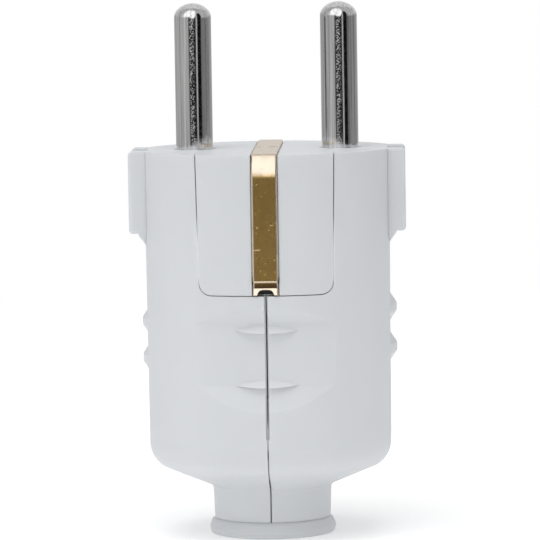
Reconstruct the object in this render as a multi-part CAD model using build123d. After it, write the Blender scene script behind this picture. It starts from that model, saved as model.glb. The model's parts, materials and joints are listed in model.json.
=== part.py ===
from build123d import *
from math import atan2, degrees, radians, sqrt, tan
import os

# Straight two-pin mains plug with side earth contacts, standing on its cable collar.
# Millimetres. +Z points along the pins, -Y is the front, X runs across the two pins.
# The origin is the centre of the collar's lower rim.

# Heights
face_height = 50.4
collar_height = 2.1
neck_top = 6.36
shoulder_height = 10.02

# Moulded body
pin_margin = 7.15
side_flat = 0.78
body_draft = 0.2
shoulder_radius = 4.0
neck_radius = 7.75
neck_draft = 0.15
neck_fillet = 0.9
wall = 2.0
parting_gap = 0.1
edge_rounding = 0.5
fit_clearance = 0.1

# Seam between the half covers
seam_width = 0.42
seam_depth = 1.2
scoop_seam_depth = 0.65
hairline_width = 0.14
hairline_depth = 0.5
lip_thickness = 0.8
lip_overlap = 1.2
lip_root = 2.5
lip_end_gap = 1.0

# Finger grips
scoop_floor_bottom = 20.9
scoop_floor_top = 28.9
scoop_half_width = 8.5
scoop_depth = 0.9
scoop_upper_slope = 1.6
scoop_lower_slope = 3.3
scoop_rounding = 0.8
front_rib_heights = (28.2, 21.2)
front_rib_thickness = 1.2
front_rib_drop = 0.25
front_rib_tilt = 16.0
front_rib_proud = 1.15
front_rib_half_length = 4.8
left_rib_heights = (28.1, 23.3)
right_rib_heights = (29.5, 24.3)
side_rib_thickness = 3.5
side_rib_crest = 0.5
side_rib_proud = 0.85
side_rib_half_length = 5.0

# Contact carrier
plate_thickness = 3.4
tongue_half_width = 8.85
tongue_length = 17.9
tongue_taper = 1.0
tongue_corner = 1.5
skirt_wall = 1.0
skirt_length = 4.4
rim_thickness = 1.4
rim_reach = 0.8

# Side guides
ear_proud = 2.1
ear_length = 10.6
ear_pair_width = 11.0
notch_width = 5.4
notch_sink = 0.2
pad_proud = 0.85
pad_length = 13.1
pad_run_out = 2.3

# Retainer under the pins, with the walls between the terminals
retainer_thickness = 1.6
barrier_thickness = 1.2
barrier_half_width = 7.0
barrier_length = 10.0
barrier_place = 4.6

# Pins and their terminals
pin_spacing = 19.0
pin_diameter = 4.8
pin_length = 19.0
pin_tip_crown = 2.8
pin_tip_corner = 1.6
pin_root_radius = 2.7
pin_flange_radius = 3.15
pin_flange_thickness = 1.3
barrel_radius = 2.75
barrel_length = 14.5
wire_hole_radius = 1.3
wire_hole_depth = 8.0
terminal_screw_rise = 3.2
terminal_screw_radius = 1.2
terminal_head_radius = 1.9
terminal_head_thickness = 1.0
guard_thickness = 0.4
guard_length = 5.0
guard_offset = 0.55
slot_width = 0.5
slot_depth = 0.5

# Earth contact
strip_width = 3.3
strip_thickness = 0.8
strip_proud = 0.3
strip_rise = 0.25
strip_bend = 2.6
strip_foot_height = 0.85
strip_crease_rise = 0.8
strip_foot_sink = 0.5
strip_clearance = 0.1
strip_notch_radius = 0.95
strip_notch_drop = 0.25
stud_radius = 1.5
earth_post_length = 16.5
earth_washer_thickness = 0.7
earth_washer_radius = 3.6

# Cable collar
collar_radius = 8.27
collar_neck_radius = 7.62
collar_edge = 0.4
collar_flare_share = 0.45
collar_waist_share = 0.85
cable_radius = 4.5
sleeve_wall = 1.5
sleeve_top = 9.4
sleeve_flange_radius = 7.3
sleeve_flange_thickness = 1.1
entry_rounding = 0.6

# Cable clamp
clamp_gap = 1.2
clamp_spacing = 15.0
clamp_face = 3.4
clamp_bar_end = 2.2
clamp_bar_width = 4.4
clamp_bar_thickness = 2.4
clamp_boss_radius = 2.1
clamp_screw_radius = 1.25
clamp_screw_depth = 8.0
clamp_head_radius = 2.1
clamp_head_thickness = 1.6
clamp_ridge = 0.7
clamp_ridge_end = 0.5
saddle_thickness = 1.6

# Closing screw
closing_gap = 0.45
closing_screw_radius = 1.75
closing_hole_radius = 1.9
closing_head_radius = 2.9
closing_head_thickness = 1.9
closing_seat = 12.9
closing_boss_radius = 2.75
seat_boss_radius = 4.2
seat_floor = 1.3
closing_washer_thickness = 0.5
closing_washer_radius = 3.05
nut_across_flats = 5.5
nut_thickness = 2.6
recess_radius = 3.2

# Sizes that follow
terminal_place = pin_spacing / 2
pin_radius = pin_diameter / 2
body_radius = terminal_place + pin_margin
body_half_width = body_radius - side_flat
ear_reach = body_half_width + ear_proud
pad_reach = body_half_width + pad_proud
notch_floor = body_half_width - notch_sink
clamp_bar_length = clamp_spacing + 2 * clamp_bar_end
clamp_height = sleeve_top + clamp_gap + clamp_bar_width / 2
closing_height = clamp_height + clamp_bar_width / 2 + closing_gap + closing_boss_radius
plate_bottom = face_height - plate_thickness
tongue_bottom = face_height - tongue_length
retainer_top = plate_bottom - pin_flange_thickness
retainer_bottom = retainer_top - retainer_thickness
barrel_bottom = retainer_top - barrel_length
post_top = retainer_bottom - earth_washer_thickness
post_bottom = post_top - earth_post_length
strip_top = face_height + strip_rise
strip_face = body_radius + strip_proud
strip_end_height = tongue_bottom + strip_clearance
strip_foot_top = strip_end_height + strip_foot_height
strip_crease_height = strip_foot_top + strip_crease_rise
scoop_floor = body_radius - body_draft - scoop_depth
scoop_edge = sqrt((body_radius - body_draft) ** 2 - scoop_half_width**2)
scoop_radius = ((scoop_floor - scoop_edge) ** 2 + scoop_half_width**2) / (2 * (scoop_floor - scoop_edge))
sleeve_radius = cable_radius + sleeve_wall
neck_foot_radius = neck_radius - neck_draft
closing_start = -closing_seat - closing_washer_thickness - nut_thickness / 2
far = 2 * face_height


def slab(bottom, top):
    """A wide flat block between two heights."""
    return Pos(0, 0, (bottom + top) / 2) * Box(2 * far, 2 * far, top - bottom)


def band(start, end):
    """A wide block between two places along X."""
    return Pos((start + end) / 2, 0, 0) * Box(end - start, 4 * far, 4 * far)


def lying(radius, start, end, height, y=0.0):
    """A cylinder along X between two places."""
    return Pos((start + end) / 2, y, height) * Rot(0, 90, 0) * Cylinder(radius, abs(end - start))


def upright(radius, bottom, top, x=0.0):
    """A cylinder along Z between two heights."""
    return Pos(x, 0, (bottom + top) / 2) * Cylinder(radius, top - bottom)


def half_outline(reach, inset, lift):
    """Half of the body's outline in the XZ plane, as a closed face."""
    head = (reach - inset, face_height)
    foot = (neck_foot_radius - inset, collar_height + lift)
    side = FilletPolyline(
        foot,
        (neck_radius - inset, neck_top + lift),
        (reach - body_draft - inset, shoulder_height + lift),
        head,
        radius=[neck_fillet, shoulder_radius - inset / 2],
    )
    rest = Polyline(foot, (0, foot[1]), (0, head[1]), head)
    return make_face(side + rest)


def body_form(inset=0.0, lift=0.0):
    """The outer form of the body, inset sideways and lifted at its lower end."""
    turned = revolve(Plane.XZ * half_outline(body_radius, inset, lift), Axis.Z)
    half = half_outline(body_half_width, inset, lift)
    front_view = half + mirror(half, Plane.YZ)
    return turned & extrude(Plane.XZ * front_view, amount=far, both=True)


def tongue_block(margin):
    """The upright block, front to back, that tongues and their cut-outs are taken from."""
    low = tongue_half_width - tongue_length * tan(radians(tongue_taper)) + margin / 2
    high = tongue_half_width + margin
    bottom = tongue_bottom - margin
    above = face_height + wall
    corner = tongue_corner + margin
    sides = FilletPolyline((-high, above), (-low, bottom), (low, bottom), (high, above), radius=corner)
    front_view = make_face(sides + Line((-high, above), (high, above)))
    return extrude(Plane.XZ * front_view, amount=far / 2, both=True)


def pad_block(side, margin):
    """One side tongue with its rounded lower end."""
    inner = body_half_width - wall - skirt_wall - fit_clearance
    depth = pad_reach - inner + margin
    bottom = face_height - pad_length - margin
    height = face_height + wall - bottom
    width = ear_pair_width + 2 * margin
    block = Pos(side * (inner + depth / 2), 0, bottom + height / 2) * Box(depth, width, height)
    lower_corners = block.edges().filter_by(Axis.X).group_by(Axis.Z)[0]
    block = fillet(lower_corners, width / 4)
    outer = side * (inner + depth)
    tapered = Polyline(
        (0, bottom),
        (side * (body_half_width - side_flat), bottom),
        (outer, bottom + pad_run_out),
        (outer, bottom + height),
        (0, bottom + height),
        close=True,
    )
    return block & extrude(Plane.XZ * make_face(tapered), amount=far, both=True)


def guide_ears(side):
    """The pair of guide ears on one side, with the notch between them."""
    inner = body_half_width - wall
    depth = ear_reach - inner
    place = Pos(side * (inner + depth / 2), 0, face_height - ear_length / 2)
    ears = place * Box(depth, ear_pair_width, ear_length)
    outer_face = ears.faces().sort_by(Axis.X)[-1 if side > 0 else 0]
    return fillet(outer_face.edges(), edge_rounding)


def guide_notch(side):
    """The groove between two guide ears, open at the top and outwards."""
    depth = ear_reach - notch_floor + wall
    place = Pos(side * (notch_floor + depth / 2), 0, face_height - ear_length / 2)
    return place * Box(depth, notch_width, ear_length + 2)


def strip_core(inset):
    """What lies under the earth strip, seen from the side, with rounded upper corners."""
    reach = strip_face - inset
    top = strip_top - inset
    corners = ((-reach, 0), (-reach, top), (reach, top), (reach, 0))
    outline = FilletPolyline(*corners, radius=strip_bend - inset)
    return make_face(outline + Line((-reach, 0), (reach, 0)))


def strip_channel():
    """The channel for the earth strip over the face and down the two tongues."""
    width = strip_width + 2 * strip_clearance
    around = Rectangle(2 * far, 4 * face_height) - strip_core(strip_thickness)
    channel = extrude(Plane.YZ * around, amount=width / 2, both=True)
    channel &= slab(tongue_bottom - wall, face_height + wall)
    depth = strip_proud + strip_foot_sink + strip_thickness
    pocket_top = strip_crease_height + strip_clearance
    pocket_height = pocket_top - tongue_bottom + wall
    for side in (-1, 1):
        place = Pos(0, side * (strip_face - depth / 2), pocket_top - pocket_height / 2)
        channel += place * Box(width, depth, pocket_height)
    return channel


def make_carrier():
    """Engagement plate with its tongues, guide ears, skirt and holding rim."""
    outside = body_form()
    fitted = body_form(wall + fit_clearance, wall)
    hollow = body_form(wall + fit_clearance + skirt_wall, wall)
    skirt_bottom = plate_bottom - skirt_length
    carrier = fitted & slab(skirt_bottom, face_height)
    rim = body_form(wall + fit_clearance - rim_reach, wall)
    carrier += rim & slab(skirt_bottom, skirt_bottom + rim_thickness)
    carrier += outside & tongue_block(0)
    for side in (-1, 1):
        carrier += pad_block(side, 0) & slab(0, face_height)
        carrier += guide_ears(side)
    carrier -= hollow & slab(0, plate_bottom)
    for side in (-1, 1):
        carrier -= guide_notch(side)
        carrier -= upright(pin_root_radius + fit_clearance / 2, 0, far, side * terminal_place)
    carrier -= upright(stud_radius + fit_clearance / 2, 0, far)
    return carrier - strip_channel()


def scoop(side):
    """Tool for the dished finger grip on the front (-1) or back (+1), which runs out at its sides."""
    axis_place = scoop_radius - scoop_floor
    outer = scoop_radius + wall
    steepness = wall / scoop_depth
    top = scoop_floor_top + scoop_upper_slope * steepness
    bottom = scoop_floor_bottom - scoop_lower_slope * steepness
    floor_and_slopes = FilletPolyline(
        (outer, bottom),
        (scoop_radius, scoop_floor_bottom),
        (scoop_radius, scoop_floor_top),
        (outer, top),
        radius=scoop_rounding,
    )
    section = make_face(floor_and_slopes + Line((outer, top), (outer, bottom)))
    ring = Pos(0, -side * axis_place, 0) * revolve(Plane.XZ * section, Axis.Z)
    front = Pos(0, side * far / 2, 0) * Box(far, far, far * 2)
    return ring & front


def front_rib(side, height):
    """A lens-shaped rib with a sloped top that stands in the grip."""
    fall = scoop_radius - sqrt(scoop_radius**2 - front_rib_half_length**2)
    rise = front_rib_proud + fall
    radius = (rise**2 + front_rib_half_length**2) / (2 * rise)
    half = front_rib_thickness / 2
    foot = radius - front_rib_proud
    crest = (radius, -front_rib_drop)
    section = Polyline((0, half), (foot, half), crest, (foot, -half), (0, -half), close=True)
    rib = revolve(Plane.XZ * make_face(section), Axis.Z)
    lift = (radius - rise) * tan(radians(front_rib_tilt))
    place = Pos(0, side * (scoop_floor + front_rib_proud - radius), height + lift)
    return place * Rot(-side * front_rib_tilt, 0, 0) * rib


def side_rib(side, height):
    """A blunt finger rib on one side wall."""
    peak = body_half_width - body_draft / 2 + side_rib_proud
    radius = (side_rib_proud**2 + side_rib_half_length**2) / (2 * side_rib_proud)
    half = side_rib_thickness / 2
    foot = radius - side_rib_proud
    crest = side_rib_crest
    edge = FilletPolyline((foot, half), (radius, crest), (radius, -crest), (foot, -half), radius=crest)
    rest = Polyline((foot, half), (0, half), (0, -half), (foot, -half))
    rib = revolve(Plane.XZ * make_face(edge + rest), Axis.Z)
    keep = band(0, far) if side > 0 else band(-far, 0)
    return Pos(side * (peak - radius), 0, height) * rib & keep


def seam_groove():
    """The open joint line between the half covers, wide on the body and fine below it."""
    body_foot = shoulder_height + shoulder_radius
    wide = band(-seam_width / 2, seam_width / 2) & slab(body_foot, face_height)
    fine = band(-hairline_width / 2, hairline_width / 2) & slab(0, body_foot)
    grip = slab(scoop_floor_bottom - scoop_lower_slope / 2, scoop_floor_top + scoop_upper_slope / 2)
    groove = (wide - body_form(seam_depth)) + ((wide & grip) - body_form(scoop_depth + scoop_seam_depth))
    return groove + (fine - body_form(hairline_depth, hairline_depth))


def seam_lip():
    """The inner lip of the left cover that reaches behind the right one."""
    zone = slab(shoulder_height + lip_end_gap, tongue_bottom - lip_end_gap)
    inner = body_form(wall + lip_thickness, wall)
    root = (body_form(wall - fit_clearance, wall) - inner) & band(-lip_root, 0)
    reach = (body_form(wall + fit_clearance, wall) - inner) & band(-lip_root, lip_overlap)
    return (root + reach) & zone


def make_cover(side):
    """One half cover: hollow wall, grips, bosses and seats. -1 is left, +1 is right."""
    outside = body_form()
    cavity = body_form(wall, wall)
    cover = outside
    for face in (-1, 1):
        cover -= scoop(face)
    own_half = band(0, far) if side > 0 else band(-far, 0)
    cover = cover & own_half
    for face in (-1, 1):
        for height in front_rib_heights:
            cover += front_rib(face, height) & own_half
    for height in right_rib_heights if side > 0 else left_rib_heights:
        cover += side_rib(side, height)
    cover -= cavity
    groove = body_form(wall - rim_reach - fit_clearance, wall)
    skirt_bottom = plate_bottom - skirt_length
    cover -= groove & slab(skirt_bottom - fit_clearance, skirt_bottom + rim_thickness + fit_clearance)

    within = body_form(wall / 2, wall / 2) & own_half
    cover += lying(closing_boss_radius, 0, side * far, closing_height) & within
    seat_root = side * (closing_seat - seat_floor)
    cover += lying(seat_boss_radius, seat_root, side * far, closing_height) & within
    if side < 0:
        saddle = within & slab(clamp_height - saddle_thickness / 2, clamp_height + saddle_thickness / 2)
        cover += saddle - band(-cable_radius / 2, far)
        for row in (-1, 1):
            boss = lying(clamp_boss_radius, -far, clamp_face, clamp_height, row * clamp_spacing / 2)
            cover += boss & body_form(wall / 2, wall / 2)
        cover += seam_lip()
    cover -= lying(closing_hole_radius, -far, far, closing_height)
    if side > 0:
        cover -= lying(recess_radius, closing_seat, far, closing_height)
    else:
        pocket = extrude(Plane.YZ * hexagon(nut_across_flats + 2 * fit_clearance), amount=-far)
        cover -= Pos(-closing_seat, 0, closing_height) * pocket
        for row in (-1, 1):
            tip = clamp_face - clamp_screw_depth
            cover -= lying(clamp_screw_radius, tip, far, clamp_height, row * clamp_spacing / 2)
    cover -= upright(sleeve_radius + fit_clearance, 0, sleeve_top + wall)
    flange_bottom = sleeve_top - sleeve_flange_thickness
    cover -= upright(sleeve_flange_radius + fit_clearance, flange_bottom, sleeve_top + wall)
    cover -= tongue_block(parting_gap)
    cover -= pad_block(side, parting_gap)
    return cover - seam_groove()


def hexagon(across_flats):
    """A hexagon with two flats upright."""
    return RegularPolygon(across_flats / 2, 6, major_radius=False)


def make_retainer():
    """Inner plate that holds both pins up, with the walls between the terminals."""
    inset = wall + 2 * fit_clearance + skirt_wall
    retainer = body_form(inset, wall) & slab(retainer_bottom, retainer_top)
    retainer += upright(barrel_radius, retainer_bottom, plate_bottom)
    barrier_height = retainer_bottom - barrier_length / 2
    for side in (-1, 1):
        barrier = Box(barrier_thickness, 2 * barrier_half_width, barrier_length)
        retainer += Pos(side * barrier_place, 0, barrier_height) * barrier
    for side in (-1, 1):
        hole = upright(barrel_radius + fit_clearance, 0, far, side * terminal_place)
        retainer -= hole
    return retainer - upright(stud_radius + fit_clearance / 2, 0, far)


def wire_entry(bottom, x=0.0):
    """The hole for the stripped wire in the lower end of a terminal."""
    hole = upright(wire_hole_radius, bottom, bottom + wire_hole_depth, x)
    mouth = Pos(x, 0, bottom + guard_thickness / 2)
    return hole + mouth * Cone(wire_hole_radius + guard_thickness, wire_hole_radius, guard_thickness)


def make_pin(side):
    """A turned contact pin with its flange and terminal barrel in one piece."""
    x = side * terminal_place
    tip = face_height + pin_length
    corner_place = pin_radius - pin_tip_corner
    drop = sqrt((pin_tip_crown - pin_tip_corner) ** 2 - corner_place**2)
    shank_top = tip - pin_tip_crown + drop
    outline = Polyline(
        (0, tip),
        (0, retainer_top),
        (pin_flange_radius, retainer_top),
        (pin_flange_radius, plate_bottom),
        (pin_root_radius, plate_bottom),
        (pin_root_radius, face_height),
        (pin_radius, face_height),
        (pin_radius, shank_top),
    )
    turn = degrees(atan2(drop, corner_place))
    dome = CenterArc((corner_place, shank_top), pin_tip_corner, 0, turn)
    dome += CenterArc((0, shank_top - drop), pin_tip_crown, turn, 90 - turn)
    pin = revolve(Plane.XZ * make_face(outline + dome), Axis.Z)
    barrel = upright(barrel_radius, barrel_bottom, retainer_top)
    pin += chamfer(barrel.edges().group_by(Axis.Z)[0], guard_thickness)
    pin -= wire_entry(barrel_bottom)
    height = barrel_bottom + terminal_screw_rise
    tapped = lying(terminal_screw_radius, 0, side * far, height)
    return Pos(x, 0, 0) * (pin - tapped)


def terminal_screw():
    """Terminal screw along +X, from the wire guard to its slotted head."""
    start = guard_offset + guard_thickness
    seat = barrel_radius
    shank = lying(terminal_screw_radius, start, seat, 0)
    head = lying(terminal_head_radius, seat, seat + terminal_head_thickness, 0)
    head = chamfer(head.edges().group_by(Axis.X)[-1], terminal_head_thickness / 4)
    top = seat + terminal_head_thickness
    slot = Pos(top - slot_depth / 2, 0, 0) * Box(slot_depth, 3 * terminal_head_radius, slot_width)
    return shank + head - slot


def wire_guard():
    """Thin plate between the terminal screw's end and the wire."""
    outer = guard_offset + guard_thickness
    half = sqrt(wire_hole_radius**2 - outer**2) - fit_clearance / 2
    return Pos(guard_offset + guard_thickness / 2, 0, 0) * Box(guard_thickness, 2 * half, guard_length)


def make_earth_post():
    """Turned earth terminal whose stud passes up through the plate and the strip."""
    post = upright(stud_radius, post_top, strip_top)
    barrel = upright(barrel_radius, post_bottom, post_top)
    post += chamfer(barrel.edges().group_by(Axis.Z)[0], guard_thickness)
    post -= wire_entry(post_bottom)
    tapped = Rot(0, 0, -90) * lying(terminal_screw_radius, 0, far, post_bottom + terminal_screw_rise)
    return post - tapped


def make_earth_washer():
    """Flat washer between the retainer and the shoulder of the earth post."""
    washer = upright(earth_washer_radius, post_top, retainer_bottom)
    return washer - upright(stud_radius + fit_clearance / 2, 0, far)


def strip_foot(side):
    """The stepped foot of the strip, set back below its crease, with a round notch for the seam."""
    outer = side * strip_face
    inner = side * (strip_face - strip_thickness)
    back = side * strip_foot_sink
    outline = Polyline(
        (outer, strip_crease_height),
        (outer - back, strip_foot_top),
        (outer - back, strip_end_height),
        (inner - back, strip_end_height),
        (inner - back, strip_crease_height),
        close=True,
    )
    foot = extrude(Plane.YZ * make_face(outline), amount=strip_width / 2, both=True)
    centre = Pos(0, outer, strip_end_height - strip_notch_drop)
    notch = centre * Rot(90, 0, 0) * Cylinder(strip_notch_radius, 4 * strip_thickness)
    return foot - notch


def make_earth_strip():
    """Bent strip over the face and down both sides, with a stepped foot at each end."""
    frame = strip_core(0) - strip_core(strip_thickness)
    strip = extrude(Plane.YZ * frame, amount=strip_width / 2, both=True)
    strip &= slab(strip_crease_height, far)
    for side in (-1, 1):
        strip += strip_foot(side)
    return strip - upright(stud_radius + fit_clearance / 5, 0, far)


def make_collar():
    """One-piece cable bush: flared ring below the neck, sleeve and holding flange above."""
    waist = (collar_radius + collar_neck_radius) / 2
    side = FilletPolyline(
        (cable_radius, 0),
        (collar_radius - collar_edge / 2, 0),
        (collar_radius, collar_height * collar_flare_share),
        (waist, collar_height * collar_waist_share),
        (waist - collar_edge, collar_height),
        (sleeve_radius, collar_height),
        radius=[collar_edge, collar_edge, collar_edge, 0],
    )
    flange_bottom = sleeve_top - sleeve_flange_thickness
    rest = Polyline(
        (sleeve_radius, collar_height),
        (sleeve_radius, flange_bottom),
        (sleeve_flange_radius, flange_bottom),
        (sleeve_flange_radius, sleeve_top),
        (cable_radius, sleeve_top),
        (cable_radius, 0),
    )
    collar = revolve(Plane.XZ * make_face(side + rest), Axis.Z)
    lower_rims = collar.faces().sort_by(Axis.Z)[0].edges().sort_by(SortBy.RADIUS)
    return fillet(lower_rims[0], entry_rounding)


def make_clamp_bar():
    """Cable clamp bar with a ridge that bites the cable and two screw holes."""
    middle = clamp_face + clamp_bar_thickness / 2
    bar = Pos(middle, 0, clamp_height) * Box(clamp_bar_thickness, clamp_bar_length, clamp_bar_width)
    bar = fillet(bar.edges().filter_by(Axis.X), clamp_bar_width / 3)
    ridge_length = 2 * (cable_radius - clamp_ridge_end)
    ridge = Pos(clamp_face, 0, clamp_height) * Rot(90, 0, 0) * Cylinder(clamp_ridge, ridge_length)
    bar += ridge
    for row in (-1, 1):
        bar -= lying(clamp_screw_radius + fit_clearance, -far, far, clamp_height, row * clamp_spacing / 2)
    return bar


def make_clamp_screws():
    """The two screws of the cable clamp."""
    seat = clamp_face + clamp_bar_thickness
    top = seat + clamp_head_thickness
    shank = lying(clamp_screw_radius, clamp_face - clamp_screw_depth, seat, 0)
    head = lying(clamp_head_radius, seat, top, 0)
    head = chamfer(head.edges().group_by(Axis.X)[-1], clamp_head_thickness / 4)
    slot = Pos(top - slot_depth / 2, 0, 0) * Box(slot_depth, slot_width, 3 * clamp_head_radius)
    screw = shank + head - slot
    places = [(0, row * clamp_spacing / 2, clamp_height) for row in (-1, 1)]
    return Compound([Pos(*place) * screw for place in places])


def make_closing_screw():
    """Through screw that draws the two half covers together."""
    shank = lying(closing_screw_radius, closing_start, closing_seat, closing_height)
    washer_face = closing_seat + closing_washer_thickness
    shank += lying(closing_screw_radius, closing_seat, washer_face, closing_height)
    top = washer_face + closing_head_thickness
    head = lying(closing_head_radius, washer_face, top, closing_height)
    head = chamfer(head.edges().group_by(Axis.X)[-1], closing_head_thickness / 4)
    slot = Box(slot_depth, 3 * closing_head_radius, 2 * slot_width)
    slot = Pos(top - slot_depth / 2, 0, closing_height) * slot
    return shank + head - slot


def make_closing_washer():
    """Washer under the head of the closing screw."""
    washer_face = closing_seat + closing_washer_thickness
    outer = lying(closing_washer_radius, closing_seat, washer_face, closing_height)
    return outer - lying(closing_hole_radius, -far, far, closing_height)


def make_closing_nut():
    """Captive hexagon nut in the pocket of the left cover."""
    body = extrude(Plane.YZ * hexagon(nut_across_flats), amount=-nut_thickness)
    nut = Pos(-closing_seat, 0, closing_height) * body
    return nut - lying(closing_screw_radius, -far, far, closing_height)


def main():
    pieces = {
        "contact_carrier": make_carrier(),
        "terminal_retainer": make_retainer(),
        "earth_strip": make_earth_strip(),
        "earth_post": make_earth_post(),
        "earth_washer": make_earth_washer(),
        "cable_collar": make_collar(),
        "clamp_bar": make_clamp_bar(),
        "clamp_screws": make_clamp_screws(),
        "closing_screw": make_closing_screw(),
        "closing_washer": make_closing_washer(),
        "closing_nut": make_closing_nut(),
    }
    for name, side in (("left", -1), ("right", 1)):
        pieces[f"cover_{name}"] = make_cover(side)
        pieces[f"pin_{name}"] = make_pin(side)
        place = Pos(side * terminal_place, 0, barrel_bottom + terminal_screw_rise)
        turn = Rot(0, 0, 0 if side > 0 else 180)
        pieces[f"pin_screw_{name}"] = place * turn * terminal_screw()
        pieces[f"pin_wire_guard_{name}"] = place * turn * wire_guard()
    earth_place = Pos(0, 0, post_bottom + terminal_screw_rise) * Rot(0, 0, -90)
    pieces["earth_screw"] = earth_place * terminal_screw()
    pieces["earth_wire_guard"] = earth_place * wire_guard()

    os.makedirs("parts", exist_ok=True)
    for name, piece in pieces.items():
        export_step(piece, f"parts/{name}.step")


main()
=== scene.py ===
"""Looks of a straight white two-pin mains plug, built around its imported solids."""

import json
import logging
import math
from dataclasses import dataclass
from enum import Enum

import bmesh
import bpy
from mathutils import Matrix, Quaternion, Vector


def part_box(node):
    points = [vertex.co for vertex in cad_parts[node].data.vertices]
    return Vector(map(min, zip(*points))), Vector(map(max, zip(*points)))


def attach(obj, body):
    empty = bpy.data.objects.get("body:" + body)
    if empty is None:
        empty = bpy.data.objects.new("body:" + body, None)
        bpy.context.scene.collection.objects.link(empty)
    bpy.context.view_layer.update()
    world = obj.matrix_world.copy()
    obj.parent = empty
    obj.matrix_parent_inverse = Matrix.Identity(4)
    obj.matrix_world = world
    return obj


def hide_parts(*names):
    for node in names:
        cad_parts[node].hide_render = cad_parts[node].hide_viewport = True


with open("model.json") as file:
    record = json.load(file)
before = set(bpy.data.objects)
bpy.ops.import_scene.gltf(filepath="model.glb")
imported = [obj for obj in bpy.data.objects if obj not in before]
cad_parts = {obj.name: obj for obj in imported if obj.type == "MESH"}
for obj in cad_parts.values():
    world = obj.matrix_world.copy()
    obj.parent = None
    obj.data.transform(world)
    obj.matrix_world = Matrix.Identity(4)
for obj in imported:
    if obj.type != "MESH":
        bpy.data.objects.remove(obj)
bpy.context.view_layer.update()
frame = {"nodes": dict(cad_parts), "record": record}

log = logging.getLogger("plug")

Colour = tuple[float, float, float]
Place = tuple[float, float, float]
Point = tuple[float, float]
Span = tuple[float, float]
Stop = tuple[float, float]
Socket = bpy.types.NodeSocket

UNIT: Span = (0.0, 1.0)
EDGE_SAMPLES = 6


class Axis(Enum):
    """The axis that a drawn or turned grain runs along."""

    X = 0
    Y = 1
    Z = 2


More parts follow.
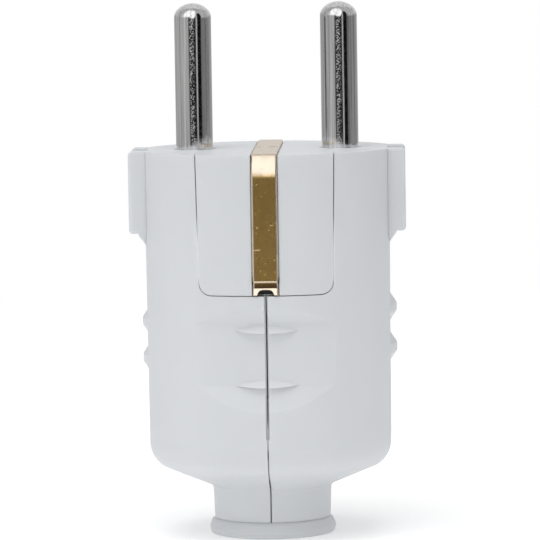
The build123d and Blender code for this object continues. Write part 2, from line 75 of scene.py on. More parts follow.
class NodeSheet:
    """Adds nodes to one material or world and links them."""

    def __init__(self, tree: bpy.types.NodeTree) -> None:
        """Clears the tree.

        Args:
            tree: the node tree to write.
        """
        self.tree = tree
        tree.nodes.clear()

    @classmethod
    def over(cls, tree: bpy.types.NodeTree) -> "NodeSheet":
        """Gives a sheet that adds to a written tree.

        Args:
            tree: the node tree to add to.

        Returns:
            The sheet.
        """
        sheet = cls.__new__(cls)
        sheet.tree = tree
        return sheet

    def add(self, kind: str, **settings: object) -> bpy.types.Node:
        """Adds a node.

        Args:
            kind: Blender's node type, without the ShaderNode prefix.
            settings: attributes to set on the node.

        Returns:
            The new node.
        """
        node = self.tree.nodes.new(f"ShaderNode{kind}")
        for name, value in settings.items():
            setattr(node, name, value)
        return node

    def link(self, source: Socket, target: Socket) -> None:
        """Links an output to an input.

        Args:
            source: the output.
            target: the input.
        """
        self.tree.links.new(source, target)

    def place(self, stretch: Place = (1.0, 1.0, 1.0)) -> Socket:
        """Gives the object's own coordinates, stretched.

        Args:
            stretch: the scale along X, Y and Z.

        Returns:
            The vector output.
        """
        coordinates = self.add("TexCoord")
        mapping = self.add("Mapping")
        mapping.inputs["Scale"].default_value = stretch
        self.link(coordinates.outputs["Object"], mapping.inputs["Vector"])
        return mapping.outputs["Vector"]

    def axes(self) -> tuple[Socket, ...]:
        """Splits the object's own coordinates.

        Returns:
            The X, Y and Z outputs.
        """
        split = self.add("SeparateXYZ")
        self.link(self.place(), split.inputs["Vector"])
        return tuple(split.outputs)

    def noise(self, scale: float, detail: float = 2.0, stretch: Place = (1.0, 1.0, 1.0)) -> Socket:
        """Adds a noise texture in object coordinates.

        Args:
            scale: cells in a metre, before the stretch.
            detail: octaves of noise.
            stretch: the scale along X, Y and Z.

        Returns:
            The factor output.
        """
        texture = self.add("TexNoise")
        texture.inputs["Scale"].default_value = scale
        texture.inputs["Detail"].default_value = detail
        self.link(self.place(stretch), texture.inputs["Vector"])
        return texture.outputs["Fac"]

    def span(self, source: Socket, given: Span, wanted: Span = UNIT) -> Socket:
        """Maps a value from one range to another.

        Args:
            source: the value.
            given: the range that it has.
            wanted: what the two ends of that range become.

        Returns:
            The mapped value.
        """
        node = self.add("MapRange")
        node.inputs["From Min"].default_value, node.inputs["From Max"].default_value = given
        node.inputs["To Min"].default_value, node.inputs["To Max"].default_value = wanted
        self.link(source, node.inputs["Value"])
        return node.outputs["Result"]

    def combine(self, operation: str, *values: object) -> Socket:
        """Joins values with a maths operation.

        Args:
            operation: Blender's name for the operation.
            values: outputs or numbers.

        Returns:
            The result.
        """
        node = self.add("Math", operation=operation)
        for socket, value in zip(node.inputs, values):
            if isinstance(value, float):
                socket.default_value = value
            else:
                self.link(value, socket)
        return node.outputs["Value"]

    def mix_add(self, source: Socket, share: float, rest: Socket) -> Socket:
        """Adds a share of one value to another.

        Args:
            source: the value that a share is taken of.
            share: how much of it is added.
            rest: the value that it is added to.

        Returns:
            The sum.
        """
        return self.combine("MULTIPLY_ADD", source, share, rest)

    def within(self, source: Socket, low: float, high: float) -> Socket:
        """Tells whether a value lies in a range.

        Args:
            source: the value.
            low: the start of the range.
            high: its end.

        Returns:
            1 inside the range and 0 outside.
        """
        return self.combine("COMPARE", source, (low + high) / 2, (high - low) / 2)

    def blend(self, factor: Socket, first: object, second: object) -> Socket:
        """Mixes two colours by a factor.

        Args:
            factor: 0 gives the first colour and 1 the second.
            first: a linear colour or an output.
            second: a linear colour or an output.

        Returns:
            The mixed colour.
        """
        node = self.add("Mix", data_type="RGBA")
        # The node's colour sockets share their names with its other types, so they go by index.
        for socket, value in ((node.inputs[6], first), (node.inputs[7], second)):
            if isinstance(value, tuple):
                socket.default_value = (*value, 1.0)
            else:
                self.link(value, socket)
        self.link(factor, node.inputs[0])
        return node.outputs[2]

    def ramp(self, source: Socket, stops: tuple[Stop, ...]) -> Socket:
        """Reads a grey ramp.

        Args:
            source: the value, from 0 to 1.
            stops: places and their brightness, in order.

        Returns:
            The ramp's colour.
        """
        node = self.add("ValToRGB")
        elements = node.color_ramp.elements
        while len(elements) < len(stops):
            elements.new(0.5)
        for element, (place, grey) in zip(elements, stops):
            element.position = place
        for element, (place, grey) in zip(elements, stops):
            element.color = (grey, grey, grey, 1.0)
        self.link(source, node.inputs["Fac"])
        return node.outputs["Color"]

    def bump(self, height: Socket, depth: float, edge: float) -> Socket:
        """Turns a height into a bumped normal over slightly rounded edges.

        Args:
            height: the height value.
            depth: the height in metres that 1 stands for.
            edge: the radius in metres that sharp edges seem rounded to.

        Returns:
            The normal output.
        """
        rounded = self.add("Bevel", samples=EDGE_SAMPLES)
        rounded.inputs["Radius"].default_value = edge
        node = self.add("Bump")
        node.inputs["Strength"].default_value = 1.0
        node.inputs["Distance"].default_value = depth
        self.link(height, node.inputs["Height"])
        self.link(rounded.outputs["Normal"], node.inputs["Normal"])
        return node.outputs["Normal"]


def new_sheet(name: str) -> tuple[bpy.types.Material, NodeSheet, bpy.types.Node]:
    """Starts a material with a Principled shader on its output.

    Args:
        name: the material's name.

    Returns:
        The material, its sheet and the shader.
    """
    material = bpy.data.materials.new(name)
    material.use_nodes = True
    sheet = NodeSheet(material.node_tree)
    shader = sheet.add("BsdfPrincipled")
    output = sheet.add("OutputMaterial")
    sheet.link(shader.outputs["BSDF"], output.inputs["Surface"])
    return material, sheet, shader


@dataclass(frozen=True)
class MouldedPlastic:
    """Satin moulded plastic: a spark-eroded skin, faint flow marks and a slight change of tone."""

    name: str
    colour: Colour = (0.652, 0.668, 0.686)
    shade: Colour = (0.628, 0.644, 0.664)
    roughness: float = 0.46
    grain_scale: float = 4200.0
    grain_depth: float = 3.0e-6
    grain_range: Span = (0.3, 0.7)
    unevenness: float = 0.06
    flow_scale: float = 70.0
    flow_stretch: Place = (1.0, 1.0, 0.35)
    flow_range: Span = (0.35, 0.65)
    detail: float = 3.0
    refraction: float = 1.49
    glow_through: float = 0.35
    glow_reach: float = 0.0007
    edge: float = 0.00022

    def make(self) -> bpy.types.Material:
        """Builds the material.

        Returns:
            The new material.
        """
        material, sheet, shader = new_sheet(self.name)
        flow = sheet.noise(self.flow_scale, self.detail, self.flow_stretch)
        tone = sheet.blend(sheet.span(flow, self.flow_range), self.shade, self.colour)
        sheet.link(tone, shader.inputs["Base Color"])
        grain = sheet.noise(self.grain_scale, self.detail)
        limits = (self.roughness - self.unevenness, self.roughness + self.unevenness)
        sheet.link(sheet.span(grain, self.grain_range, limits), shader.inputs["Roughness"])
        sheet.link(sheet.bump(grain, self.grain_depth, self.edge), shader.inputs["Normal"])
        shader.inputs["IOR"].default_value = self.refraction
        shader.inputs["Subsurface Weight"].default_value = self.glow_through
        shader.inputs["Subsurface Radius"].default_value = (1.0, 1.0, 1.0)
        shader.inputs["Subsurface Scale"].default_value = self.glow_reach
        return material


@dataclass(frozen=True)
class CoverPlastic(MouldedPlastic):
    """The covers' and insert's plastic: painted shade in the open joint and behind the strip's notch, and
    painted light, a faint emission, in the joints where they fade.
    """

    joint_half_width: float = 0.00009
    groove_half_width: float = 0.000214
    groove_foot: float = 0.01402
    groove_painted_light: float = 0.1
    painted_light_tone: Colour = (0.98, 0.99, 1.0)
    # The stops of the seam's painted light and painted shade go by height, from 0 at the floor to 1 at
    # joint_height.
    seam_painted_light: tuple[Stop, ...] = (
        (0.120, 0.0),
        (0.140, 0.06),
        (0.185, 0.06),
        (0.195, 0.0),
        (0.226, 0.0),
        (0.240, 0.10),
        (0.320, 0.10),
        (0.333, 0.0),
        (0.350, 0.0),
        (0.370, 0.14),
        (0.430, 0.14),
        (0.480, 0.0),
    )
    joint_shade_tone: Colour = (0.012, 0.012, 0.013)
    joint_height: float = 0.035
    joint_shade_marks: tuple[Stop, ...] = (
        (0.10, 0.25),
        (0.22, 0.75),
        (0.25, 0.30),
        (0.33, 0.25),
        (0.37, 0.05),
        (0.43, 0.05),
        (0.47, 0.70),
        (0.60, 0.95),
        (0.85, 0.95),
        (0.92, 0.60),
    )
    tongue_half_width: float = 0.00885
    tongue_taper: float = 1.0
    tongue_gap: float = 0.0001
    gap_margin: float = 0.2
    tongue_gap_painted_light: float = 0.24
    # These stops of the painted light beside the tongue go by height, from 0 at the strip's foot to 1 at
    # its top.
    tongue_gap_light_stops: tuple[Stop, ...] = (
        (0.04, 0.0),
        (0.12, 1.0),
        (0.38, 1.0),
        (0.56, 0.0),
    )
    notch_half_width: float = 0.00115
    notch_depth: float = 0.001

    def make(self) -> bpy.types.Material:
        """Builds the material.

        Returns:
            The new material.
        """
        material = super().make()
        sheet = NodeSheet.over(material.node_tree)
        shader = next(node for node in sheet.tree.nodes if node.type == "BSDF_PRINCIPLED")
        tone = shader.inputs["Base Color"].links[0].from_socket
        x, _, z = sheet.axes()
        aside = sheet.combine("ABSOLUTE", x)
        height = sheet.span(z, (0.0, self.joint_height))
        # Painted shade: the open joint's middle is darkened almost to black, more at some heights than
        # others, and its translucency is turned off there.
        line = sheet.combine("LESS_THAN", aside, self.joint_half_width)
        joint = sheet.combine("MULTIPLY", line, sheet.ramp(height, self.joint_shade_marks))
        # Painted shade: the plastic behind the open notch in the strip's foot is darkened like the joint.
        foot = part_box("earth_strip")[0][2]
        beside = sheet.combine("LESS_THAN", aside, self.notch_half_width)
        behind = sheet.within(z, foot, foot + self.notch_depth)
        dark = sheet.combine("MAXIMUM", joint, sheet.combine("MULTIPLY", beside, behind))
        sheet.link(sheet.blend(dark, tone, self.joint_shade_tone), shader.inputs["Base Color"])
        through = sheet.span(dark, UNIT, (self.glow_through, 0.0))
        sheet.link(through, shader.inputs["Subsurface Weight"])
        # Painted light: a faint emission in the groove beside the seam, in the seam itself at some
        # heights, and in the gap beside the tongue lightens these joints.
        flank = sheet.within(aside, self.joint_half_width, self.groove_half_width)
        groove_light = sheet.combine("MULTIPLY", flank, sheet.within(z, self.groove_foot, foot))
        groove_light = sheet.combine("MULTIPLY", groove_light, self.groove_painted_light)
        seam_light = sheet.combine("MULTIPLY", line, sheet.ramp(height, self.seam_painted_light))
        painted_light = sheet.combine("MAXIMUM", self.paint_tongue_gap_light(sheet, aside, z), groove_light)
        shader.inputs["Emission Color"].default_value = (*self.painted_light_tone, 1.0)
        sheet.link(sheet.combine("MAXIMUM", painted_light, seam_light), shader.inputs["Emission Strength"])
        return material

    def paint_tongue_gap_light(
        self,
        sheet: NodeSheet,
        aside: Socket,
        height: Socket,
    ) -> Socket:
        """Gives painted light, a faint emission in the joint beside the tongue, that makes the joint look
        thinner over part of its height.

        Args:
            sheet: the material's sheet.
            aside: how far the point is from the middle.
            height: the point's height.

        Returns:
            The strength of the glow.
        """
        low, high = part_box("earth_strip")
        drop = sheet.combine("SUBTRACT", height, high[2])
        side = sheet.mix_add(drop, math.tan(math.radians(self.tongue_taper)), self.tongue_half_width)
        beyond = sheet.combine("SUBTRACT", aside, side)
        margin = self.gap_margin * self.tongue_gap
        gap = sheet.within(beyond, -margin, self.tongue_gap + margin)
        share = sheet.span(height, (low[2], high[2]))
        tongue_gap_light = sheet.combine("MULTIPLY", gap, sheet.ramp(share, self.tongue_gap_light_stops))
        return sheet.combine("MULTIPLY", tongue_gap_light, self.tongue_gap_painted_light)


@dataclass(frozen=True)
class PlatedMetal:
    """Bright plated metal with drawn streaks and a mottled polish."""

    name: str
    colour: Colour = (0.74, 0.735, 0.73)
    shade: Colour = (0.52, 0.515, 0.52)
    grain: Axis = Axis.Z
    roughness: float = 0.09
    roughness_shares: Span = (0.7, 1.5)
    streak_scale: float = 3600.0
    streak_stretch: float = 0.02
    streak_range: Span = (0.36, 0.6)
    streak_depth: float = 2.2e-6
    mottle_scale: float = 1500.0
    mottle_detail: float = 3.0
    mottle_range: Span = (0.35, 0.65)
    mottle_depth: float = 1.6e-6
    edge: float = 0.00012

    def make(self) -> bpy.types.Material:
        """Builds the material.

        Returns:
            The new material.
        """
        material, sheet, shader = new_sheet(self.name)
        stretch = [1.0, 1.0, 1.0]
        stretch[self.grain.value] = self.streak_stretch
        streaks = sheet.noise(self.streak_scale, stretch=tuple(stretch))
        mottle = sheet.noise(self.mottle_scale, self.mottle_detail)
        tone = sheet.blend(sheet.span(streaks, self.streak_range), self.shade, self.colour)
        limits = tuple(self.roughness * share for share in self.roughness_shares)
        rough = sheet.span(mottle, self.mottle_range, limits)
        height = sheet.mix_add(mottle, self.mottle_depth / self.streak_depth, streaks)
        sheet.link(sheet.bump(height, self.streak_depth, self.edge), shader.inputs["Normal"])
        self.finish(sheet, shader, tone, rough)
        return material

    def finish(
        self,
        sheet: NodeSheet,
        shader: bpy.types.Node,
        tone: Socket,
        rough: Socket,
    ) -> None:
        """Links the colour and the roughness.

        Args:
            sheet: the material's sheet.
            shader: its shader.
            tone: the colour.
            rough: the roughness.
        """
        sheet.link(tone, shader.inputs["Base Color"])
        sheet.link(rough, shader.inputs["Roughness"])
        shader.inputs["Metallic"].default_value = 1.0


@dataclass(frozen=True)
class PinPlate(PlatedMetal):
    """The pins' nickel plate, with a speckled band down the front of each pin."""

    pin_place: float = 0.0095
    band_turn: float = 0.01
    band_half: float = 0.15
    band_core: float = 0.85
    waver: float = 0.03
    waver_scale: float = 900.0
    waver_range: Span = (0.3, 0.7)
    speck_scale: float = 7600.0
    speck_stretch: Place = (0.8, 0.8, 1.0)
    speck_range: Span = (0.49, 0.62)
    speck_tone: Colour = (0.42, 0.42, 0.43)
    speck_fade: float = 0.06
    speck_roughness: float = 0.5
    speck_metal: float = 0.35

    def finish(
        self,
        sheet: NodeSheet,
        shader: bpy.types.Node,
        tone: Socket,
        rough: Socket,
    ) -> None:
        """Links the colour and the roughness, with the speckled band over them.

        Args:
            sheet: the material's sheet.
            shader: its shader.
            tone: the colour.
            rough: the roughness.
        """
        x, y, _ = sheet.axes()
        pin = sheet.combine("MULTIPLY", sheet.combine("SIGN", x), self.pin_place)
        across = sheet.combine("SUBTRACT", x, pin)
        turn = sheet.combine("ARCTAN2", across, sheet.combine("MULTIPLY", y, -1.0))
        waver = sheet.span(sheet.noise(self.waver_scale), self.waver_range, (-self.waver, self.waver))
        offset = sheet.combine("SUBTRACT", sheet.combine("ADD", turn, waver), self.band_turn)
        rim = (self.band_half * self.band_core, self.band_half)
        inside = sheet.span(sheet.combine("ABSOLUTE", offset), rim, (1.0, 0.0))
        fade = sheet.span(offset, (-self.band_half, self.band_half), (1.0, self.speck_fade))
        grains = sheet.noise(self.speck_scale, stretch=self.speck_stretch)
        shown = sheet.span(grains, self.speck_range)
        specks = sheet.combine("MULTIPLY", sheet.combine("MULTIPLY", inside, fade), shown)
        sheet.link(sheet.blend(specks, tone, self.speck_tone), shader.inputs["Base Color"])
        sheet.link(sheet.mix_add(specks, self.speck_roughness, rough), shader.inputs["Roughness"])
        sheet.link(sheet.span(specks, UNIT, (1.0, self.speck_metal)), shader.inputs["Metallic"])


@dataclass(frozen=True)
class BrassWearAndPaintedLight:
    """Rolled brass with a warm tone, short rubbed scratches, specks and darker tarnish, a pale highlight
    tone painted on the bend, crease, foot and rims, and painted shade between foot and crease.
    """

    name: str
    colour: Colour = (0.90, 0.58, 0.20)
    shade: Colour = (0.62, 0.39, 0.12)
    pale_wear_and_highlight: Colour = (0.79, 0.68, 0.55)
    crease_shade: Colour = (0.22, 0.13, 0.05)
    highlight_depth: float = 0.0031
    highlight_fade: float = 0.0007
    highlight_foot: float = 0.00085
    highlight_crease: float = 0.00165
    highlight_crease_half: float = 0.00013
    highlight_rim: float = 0.00022
    highlight_roughness: float = 0.12
    metal: float = 0.85
    roughness: float = 0.17
    roughness_shares: Span = (1.3, 0.7)
    roughness_range: Span = (0.35, 0.65)
    tarnish_scale: float = 1000.0
    tarnish_detail: float = 5.0
    tarnish_stretch: Place = (1.0, 1.0, 0.55)
    tarnish_range: Span = (0.42, 0.58)
    speck_scale: float = 2800.0
    speck_detail: float = 3.0
    speck_range: Span = (0.68, 0.73)
    speck_depth: float = 2.4e-6
    scratch_scale: float = 2300.0
    scratch_detail: float = 1.0
    scratch_stretch: Place = (0.2, 0.2, 1.0)
    scratch_range: Span = (0.73, 0.77)
    scratch_rise: float = -0.8
    mark_share: float = 0.5
    mark_roughness: float = 0.2
    edge: float = 0.00008

    def make(self) -> bpy.types.Material:
        """Builds the material.

        Returns:
            The new material.
        """
        material, sheet, shader = new_sheet(self.name)
        tarnish = sheet.noise(self.tarnish_scale, self.tarnish_detail, self.tarnish_stretch)
        grain = sheet.noise(self.speck_scale, self.speck_detail)
        scratches = sheet.noise(self.scratch_scale, self.scratch_detail, self.scratch_stretch)
        scratches = sheet.span(scratches, self.scratch_range)
        marks = sheet.combine("MAXIMUM", sheet.span(grain, self.speck_range), scratches)
        pale_highlight, crease_shade = self.paint_highlight_and_shade(sheet)
        tone = sheet.blend(sheet.span(tarnish, self.tarnish_range), self.shade, self.colour)
        # Painted shade: the band between the foot and the crease is darkened to a deep brown.
        tone = sheet.blend(crease_shade, tone, self.crease_shade)
        # Painted highlight: the pale tone, at full metal, goes where highlights fall on the bend, crease,
        # foot and rims; the scratches and specks are real wear in the same pale tone.
        shown = sheet.combine("MAXIMUM", pale_highlight, sheet.combine("MULTIPLY", marks, self.mark_share))
        sheet.link(sheet.blend(shown, tone, self.pale_wear_and_highlight), shader.inputs["Base Color"])
        limits = tuple(self.roughness * share for share in self.roughness_shares)
        rough = sheet.span(tarnish, self.roughness_range, limits)
        rough = sheet.mix_add(pale_highlight, self.highlight_roughness, rough)
        sheet.link(sheet.mix_add(marks, self.mark_roughness, rough), shader.inputs["Roughness"])
        height = sheet.mix_add(scratches, self.scratch_rise, grain)
        sheet.link(sheet.bump(height, self.speck_depth, self.edge), shader.inputs["Normal"])
        sheet.link(sheet.span(pale_highlight, UNIT, (self.metal, 1.0)), shader.inputs["Metallic"])
        return material

    def paint_highlight_and_shade(self, sheet: NodeSheet) -> tuple[Socket, Socket]:
        """Marks out where a pale highlight tone is painted on the strip and where painted shade darkens
        it.

        Args:
            sheet: the material's sheet.

        Returns:
            The share of painted highlight tone at the top, foot, crease and rims, and the painted shade
            between foot and crease.
        """
        x, _, z = sheet.axes()
        low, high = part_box("earth_strip")
        # Painted highlight zones: the top bend, a thin line at the crease, the foot and both rims.
        foot, crease = low[2] + self.highlight_foot, low[2] + self.highlight_crease
        bend = high[2] - self.highlight_depth
        top = sheet.span(z, (bend, bend + self.highlight_fade))
        lip = sheet.within(z, crease - self.highlight_crease_half, crease + self.highlight_crease_half)
        below = sheet.combine("MAXIMUM", sheet.combine("LESS_THAN", z, foot), lip)
        rims = sheet.combine("GREATER_THAN", sheet.combine("ABSOLUTE", x), high[0] - self.highlight_rim)
        pale_highlight = sheet.combine("MAXIMUM", sheet.combine("MAXIMUM", top, below), rims)
        return pale_highlight, sheet.within(z, foot, crease)


@dataclass(frozen=True)
class Lamp:
    """A soft lamp: its place and its width and height in metres, and its power in watts."""

    name: str
    place: Place
    size: Span
    power: float


@dataclass
class Studio:
    """Camera, lamps, pale floor and surroundings, in metres and degrees.

    The camera's numbers and the surroundings that show in the metal are fitted to the photograph.
    """

    camera_distance: float = 0.5905
    camera_height: float = 0.0847
    camera_turn: float = 1.72
    aim: Place = (0.0001, 0.0, 0.0344)
    roll: float = -0.878
    lens: float = 302.0
    sensor: float = 36.0
    clip: Span = (0.01, 50.0)
    floor_radius: float = 0.34
    floor_sides: int = 96
    floor_tone: float = 0.80
    floor_glow: float = 0.30
    dark_front: float = 0.13
    dark_front_tone: float = 0.02
    floor_bounce: float = 0.28
    room_tone: Colour = (0.985, 0.992, 1.0)
    room_level: float = 0.62
    # These stops go by bearing: 0 and 1 are behind the plug and 0.5 is the camera's side.
    around: tuple[Stop, ...] = (
        (0.000, 0.47),
        (0.300, 0.47),
        (0.330, 0.50),
        (0.350, 0.64),
        (0.370, 0.60),
        (0.383, 0.50),
        (0.422, 0.50),
        (0.440, 0.06),
        (0.480, 0.01),
        (0.557, 0.01),
        (0.564, 0.60),
        (0.580, 0.60),
        (0.587, 0.004),
        (0.646, 0.004),
        (0.659, 0.19),
        (0.750, 0.28),
        (0.820, 0.27),
        (0.860, 0.42),
        (1.000, 0.50),
    )
    dark_top: tuple[Stop, ...] = (
        (0.00, 0.05),
        (0.45, 0.16),
        (0.47, 0.03),
        (0.53, 0.03),
        (0.55, 0.18),
        (0.575, 0.62),
        (0.65, 0.62),
        (0.67, 0.05),
    )
    softbox_span: tuple[Stop, ...] = (
        (0.00, 0.82),
        (0.08, 0.82),
        (0.20, 0.55),
        (0.30, 0.55),
        (0.36, 1.45),
        (0.56, 1.45),
        (0.59, 0.55),
        (0.80, 0.55),
        (0.92, 0.82),
    )
    softbox_fade: float = 0.1
    zenith_level: float = 0.45
    zenith_range: Span = (0.96, 0.985)
    lamps: tuple[Lamp, ...] = (
        Lamp("left_softbox", (-0.7, -0.95, 0.35), (0.6, 0.8), 1.45),
        Lamp("top_softbox", (-0.1, -0.3, 1.0), (0.8, 0.8), 5.4),
    )

    def place_camera(self) -> None:
        """Puts the camera where the photograph's was."""
        turn = math.radians(self.camera_turn)
        place = Vector((math.sin(turn), -math.cos(turn), 0.0)) * self.camera_distance
        place.z = self.camera_height
        data = bpy.data.cameras.new("camera")
        data.lens = self.lens
        data.sensor_width = self.sensor
        data.clip_start, data.clip_end = self.clip
        camera = bpy.data.objects.new("camera", data)
        bpy.context.scene.collection.objects.link(camera)
        view = (Vector(self.aim) - place).to_track_quat("-Z", "Y")
        camera.rotation_mode = "QUATERNION"
        camera.rotation_quaternion = view @ Quaternion((0.0, 0.0, 1.0), math.radians(self.roll))
        camera.location = place
        bpy.context.scene.camera = camera

    def lay_floor(self) -> None:
        """Lays the pale round floor, which shows white and keeps the plug's shadow."""
        mesh = bpy.data.meshes.new("floor")
        shape = bmesh.new()
        bmesh.ops.create_circle(shape, cap_ends=True, segments=self.floor_sides, radius=self.floor_radius)
        shape.to_mesh(mesh)
        shape.free()
        floor = bpy.data.objects.new("floor", mesh)
        bpy.context.scene.collection.objects.link(floor)
        material = bpy.data.materials.new("floor_white")
        material.use_nodes = True
        sheet = NodeSheet(material.node_tree)
        output = sheet.add("OutputMaterial")
        path = sheet.add("LightPath")
        front = sheet.combine("LESS_THAN", sheet.axes()[Axis.Y.value], -self.dark_front)
        mirrored = sheet.combine("MULTIPLY", front, path.outputs["Is Glossy Ray"])
        cloth = sheet.add("BsdfDiffuse")
        tones = (self.floor_tone,) * 3, (self.dark_front_tone,) * 3
        sheet.link(sheet.blend(mirrored, *tones), cloth.inputs["Color"])
        glow = sheet.add("Emission")
        seen = sheet.combine("MAXIMUM", path.outputs["Is Camera Ray"], path.outputs["Is Glossy Ray"])
        shown = sheet.combine("MAXIMUM", seen, path.outputs["Is Transmission Ray"])
        shown = sheet.combine("SUBTRACT", shown, mirrored)
        strength = sheet.span(shown, UNIT, (self.floor_bounce, self.floor_glow))
        sheet.link(strength, glow.inputs["Strength"])
        both = sheet.add("AddShader")
        sheet.link(cloth.outputs["BSDF"], both.inputs[0])
        sheet.link(glow.outputs["Emission"], both.inputs[1])
        sheet.link(both.outputs["Shader"], output.inputs["Surface"])
        floor.data.materials.append(material)

    def light_world(self) -> None:
        """Surroundings: even for the lighting, and a studio with a darker camera side for reflections."""
        world = bpy.data.worlds.new("studio")
        bpy.context.scene.world = world
        world.use_nodes = True
        sheet = NodeSheet(world.node_tree)
        output = sheet.add("OutputWorld")
        room = sheet.add("Background")
        room.inputs["Color"].default_value = (*self.room_tone, 1.0)
        room.inputs["Strength"].default_value = self.room_level
        coordinates = sheet.add("TexCoord")
        split = sheet.add("SeparateXYZ")
        sheet.link(coordinates.outputs["Generated"], split.inputs["Vector"])
        toward = sheet.combine("MULTIPLY", split.outputs["Y"], -1.0)
        bearing = sheet.combine("ARCTAN2", split.outputs["X"], toward)
        turn = sheet.span(bearing, (-math.pi, math.pi))
        level = sheet.ramp(turn, self.around)
        start = sheet.ramp(turn, self.dark_top)
        rise = sheet.combine("SUBTRACT", split.outputs["Z"], start)
        above = sheet.span(rise, (0.0, self.softbox_fade))
        crown = sheet.span(split.outputs["Z"], self.zenith_range)
        softbox = sheet.blend(crown, sheet.ramp(turn, self.softbox_span), (self.zenith_level,) * 3)
        mirror = sheet.add("Background")
        sheet.link(sheet.blend(above, level, softbox), mirror.inputs["Color"])
        white = sheet.add("Background")
        white.inputs["Color"].default_value = (1.0, 1.0, 1.0, 1.0)
        path = sheet.add("LightPath")
        first = sheet.add("MixShader")
        sheet.link(path.outputs["Is Glossy Ray"], first.inputs["Fac"])
        sheet.link(room.outputs["Background"], first.inputs[1])
        sheet.link(mirror.outputs["Background"], first.inputs[2])
        seen = sheet.combine("MAXIMUM", path.outputs["Is Camera Ray"], path.outputs["Is Transmission Ray"])
        second = sheet.add("MixShader")
        sheet.link(seen, second.inputs["Fac"])
        sheet.link(first.outputs["Shader"], second.inputs[1])
        sheet.link(white.outputs["Background"], second.inputs[2])
        sheet.link(second.outputs["Shader"], output.inputs["Surface"])

    def hang_lamp(self, lamp: Lamp) -> None:
        """Hangs one soft lamp that faces the plug and doesn't show in its metal.

        Args:
            lamp: the lamp to hang.
        """
        data = bpy.data.lights.new(lamp.name, "AREA")
        data.shape = "RECTANGLE"
        data.size, data.size_y = lamp.size
        data.energy = lamp.power
        softbox = bpy.data.objects.new(lamp.name, data)
        softbox.location = lamp.place
        softbox.rotation_mode = "QUATERNION"
        softbox.rotation_quaternion = (Vector(self.aim) - Vector(lamp.place)).to_track_quat("-Z", "Y")
        softbox.visible_glossy = False
        bpy.context.scene.collection.objects.link(softbox)

    def build(self) -> None:
        """Sets up everything that isn't the plug."""
        self.place_camera()
        self.lay_floor()
        self.light_world()
        for lamp in self.lamps:
            self.hang_lamp(lamp)
        bpy.context.scene.view_settings.view_transform = "Standard"


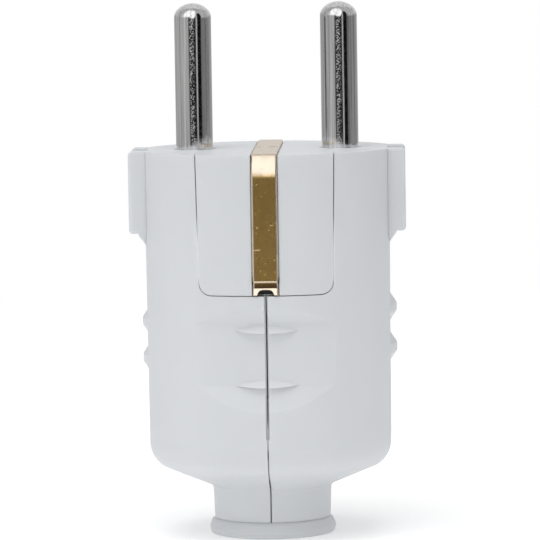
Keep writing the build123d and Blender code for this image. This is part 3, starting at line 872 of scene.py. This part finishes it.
@dataclass
class EarthStrip:
    """The bent brass earth strip, with rolled long edges, a crease and a notched foot at each end.

    Its lengths are in metres and its angles in degrees.
    """

    edge: float = 0.00024
    thickness: float = 0.0008
    bend: float = 0.0046
    bend_start: float = 44.0
    top_sink: float = 0.00003
    top_rounding: float = 0.0003
    foot_sink: float = 0.0005
    crease_rise: float = 0.0008
    foot_height: float = 0.00085
    crease_lip: float = 0.00005
    crease_drop: float = 0.00012
    crease_rounding: float = 0.00005
    foot_flare: float = 0.0003
    notch_half: float = 0.00102
    notch_height: float = 0.00066
    notch_power: int = 4
    bend_steps: int = 16
    edge_steps: int = 5
    top_steps: int = 6
    round_steps: int = 4
    notch_columns: int = 18
    foot_rings: int = 4
    face_shares: tuple[float, ...] = (0.8, 0.6, 0.4, 0.2)
    foot_shares: tuple[float, ...] = (0.35, 0.7, 1.0)
    lip_run: float = 1.6
    sharp_angle: float = 40.0
    weld: float = 1e-7
    name: str = "earth_strip_bent"

    def path(self) -> list[Point]:
        """Gives the outer face's path from the top's middle down to the front foot.

        Returns:
            Points (y, z) of the path.
        """
        low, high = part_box("earth_strip")
        reach, top, end = high[1], high[2] - self.top_sink, low[2]
        face = reach - self.crease_lip
        start = math.radians(self.bend_start)
        drop = self.bend * math.sin(start)
        arc = []
        for step in range(self.bend_steps + 1):
            angle = start * (1 - step / self.bend_steps)
            inward = self.bend * (1 - math.cos(angle))
            arc.append((inward - face, top - drop + self.bend * math.sin(angle)))
        points = [(arc[0][0] * step / self.top_steps, top) for step in range(self.top_steps)]
        points += self.rounded(points[-1], arc[0], arc[1], self.top_rounding) + arc[2:]
        foot_top = end + self.foot_height
        crease = foot_top + self.crease_rise
        straight = top - drop - crease
        points += [(-face, crease + straight * share) for share in self.face_shares]
        corners = (
            (-face, crease + self.lip_run * self.crease_lip),
            (-reach, crease),
            (-reach + self.foot_sink, crease - self.crease_drop),
            (-reach + self.foot_sink, foot_top),
            (-reach + self.foot_sink - self.foot_flare, end),
        )
        before = points[-1]
        for corner, after in zip(corners[:-1], corners[1:]):
            points += self.rounded(before, corner, after, self.crease_rounding)
            before = points[-1]
        last, stop = Vector(points[-1]), Vector(corners[-1])
        points += [tuple(last.lerp(stop, share)) for share in self.foot_shares]
        return points

    def rounded(self, before: Point, corner: Point, after: Point, reach: float) -> list[Point]:
        """Rounds one corner of the path.

        Args:
            before: the point before the corner.
            corner: the corner.
            after: the point after it.
            reach: how far before and after the corner the rounding starts.

        Returns:
            Points on a small curve round the corner.
        """
        middle = Vector(corner)
        start = middle + (Vector(before) - middle).normalized() * reach
        stop = middle + (Vector(after) - middle).normalized() * reach
        curve = []
        for step in range(self.round_steps + 1):
            share = step / self.round_steps
            curve.append(tuple(start.lerp(middle, share).lerp(middle.lerp(stop, share), share)))
        return curve

    def section(self, half: float) -> list[Point]:
        """Gives the strip's rounded cross-section.

        Args:
            half: half of the strip's width.

        Returns:
            Points (x, depth below the outer face), going round once.
        """
        flat, columns = half - self.edge, self.notch_columns
        top = [flat - 2 * flat * i / columns for i in range(1, columns)]
        ring = []
        for centre, start in ((flat, 0.0), (-flat, math.pi / 2)):
            for step in range(self.edge_steps + 1):
                angle = start + math.pi / 2 * step / self.edge_steps
                x = centre + math.cos(angle) * self.edge
                ring.append((x, self.edge - math.sin(angle) * self.edge))
            if start == 0.0:
                ring += [(x, 0.0) for x in top]
        under = [-half] + [-x for x in top] + [half]
        return ring + [(x, self.thickness) for x in under]

    def build(self, material: bpy.types.Material) -> None:
        """Builds the strip, which stands for the plain solid.

        Args:
            material: the brass finish.
        """
        shape = bmesh.new()
        rows = self.sweep(shape)
        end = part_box("earth_strip")[0][2]
        for foot in (rows[: self.foot_rings], rows[: -self.foot_rings - 1 : -1]):
            self.notch_foot(foot, end)
            self.close_end(shape, foot[0])
        bmesh.ops.remove_doubles(shape, verts=shape.verts, dist=self.weld)
        bmesh.ops.recalc_face_normals(shape, faces=shape.faces)
        mesh = bpy.data.meshes.new(self.name)
        shape.to_mesh(mesh)
        shape.free()
        mesh.materials.append(material)
        for polygon in mesh.polygons:
            polygon.use_smooth = True
        mesh.set_sharp_from_angle(angle=math.radians(self.sharp_angle))
        strip = bpy.data.objects.new(self.name, mesh)
        bpy.context.scene.collection.objects.link(strip)
        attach(strip, "root")
        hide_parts("earth_strip")
        log.info("%s has %d faces", self.name, len(mesh.polygons))

    def sweep(self, shape: bmesh.types.BMesh) -> list[list[bmesh.types.BMVert]]:
        """Sweeps the cross-section from the back foot over the top to the front foot.

        Args:
            shape: the mesh to add to.

        Returns:
            The rings of the strip, from the back foot's lower edge on.
        """
        low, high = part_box("earth_strip")
        front = self.path()
        path = [(-y, z) for y, z in reversed(front)] + front[1:]
        ring = self.section((high[0] - low[0]) / 2)
        rows = []
        last = len(path) - 1
        for index, (y, z) in enumerate(path):
            ahead = Vector(path[min(index + 1, last)]) - Vector(path[max(index - 1, 0)])
            outward = Vector((ahead.y, -ahead.x)).normalized()
            if outward.dot(Vector((y, z - high[2] + self.bend))) < 0:
                outward.negate()
            row = []
            for x, depth in ring:
                place = Vector((y, z)) - outward * depth
                row.append(shape.verts.new((x, place.x, place.y)))
            rows.append(row)
        count = len(ring)
        for row, following in zip(rows, rows[1:]):
            for i in range(count):
                j = (i + 1) % count
                shape.faces.new((row[i], row[j], following[j], following[i]))
        return rows

    def close_end(self, shape: bmesh.types.BMesh, row: list[bmesh.types.BMVert]) -> None:
        """Closes the foot's lower edge column by column, so that the notch stays open.

        Args:
            shape: the strip's mesh.
            row: the last ring of the foot.
        """
        arc, columns = self.edge_steps + 1, self.notch_columns
        outer = row[arc - 1 : arc + columns]
        inner = row[::-1][: columns + 1]
        for k in range(columns):
            shape.faces.new((outer[k], outer[k + 1], inner[k + 1], inner[k]))
        shape.faces.new(row[:arc] + [inner[0]])
        shape.faces.new(row[arc + columns - 1 : 2 * arc + columns - 1] + [inner[-1]])

    def notch_foot(self, rows: list[list[bmesh.types.BMVert]], end: float) -> None:
        """Lifts the foot's lower edge into the round notch, along the flared foot.

        Args:
            rows: the rings of the foot, from its lower edge up.
            end: the height of the foot's lower edge.
        """
        lean = self.foot_flare / self.foot_height
        for vert in (vert for row in rows for vert in row):
            inside = max(0.0, 1.0 - (abs(vert.co.x) / self.notch_half) ** self.notch_power)
            lift = end + self.notch_height * math.sqrt(inside) - vert.co.z
            if inside > 0 and lift > 0:
                vert.co.z += lift
                vert.co.y -= math.copysign(lean * lift, vert.co.y)


@dataclass
class Finishes:
    """The finish of each carried-over solid."""

    cover: CoverPlastic = CoverPlastic("cover_plastic")
    insert: CoverPlastic = CoverPlastic("insert_plastic")
    bush: MouldedPlastic = MouldedPlastic("bush_plastic")
    pins: PinPlate = PinPlate("nickel_plate")
    brass: BrassWearAndPaintedLight = BrassWearAndPaintedLight("earth_brass")
    steel: PlatedMetal = PlatedMetal(
        "zinc_steel",
        colour=(0.62, 0.63, 0.64),
        shade=(0.50, 0.51, 0.52),
        grain=Axis.Y,
    )

    def dress(self) -> None:
        """Gives each solid its finish."""
        brass = self.brass.make()
        finishes = {
            "white_shell": self.cover.make(),
            "white_insert": self.insert.make(),
            "soft_bush": self.bush.make(),
            "nickel_plate": self.pins.make(),
            "earth_brass": brass,
            "plain_brass": brass,
            "zinc_steel": self.steel.make(),
        }
        for row in frame["record"]["subparts"]:
            node = frame["nodes"][row["node"]]
            node.data.materials.clear()
            node.data.materials.append(finishes[row["material_slot"]])
            log.info("%s is dressed in %s", row["node"], row["material_slot"])
        EarthStrip().build(brass)


def main() -> None:
    """Builds the studio and dresses the plug."""
    logging.basicConfig(level=logging.INFO, format="%(message)s")
    Studio().build()
    Finishes().dress()


if __name__ == "__main__":
    main()
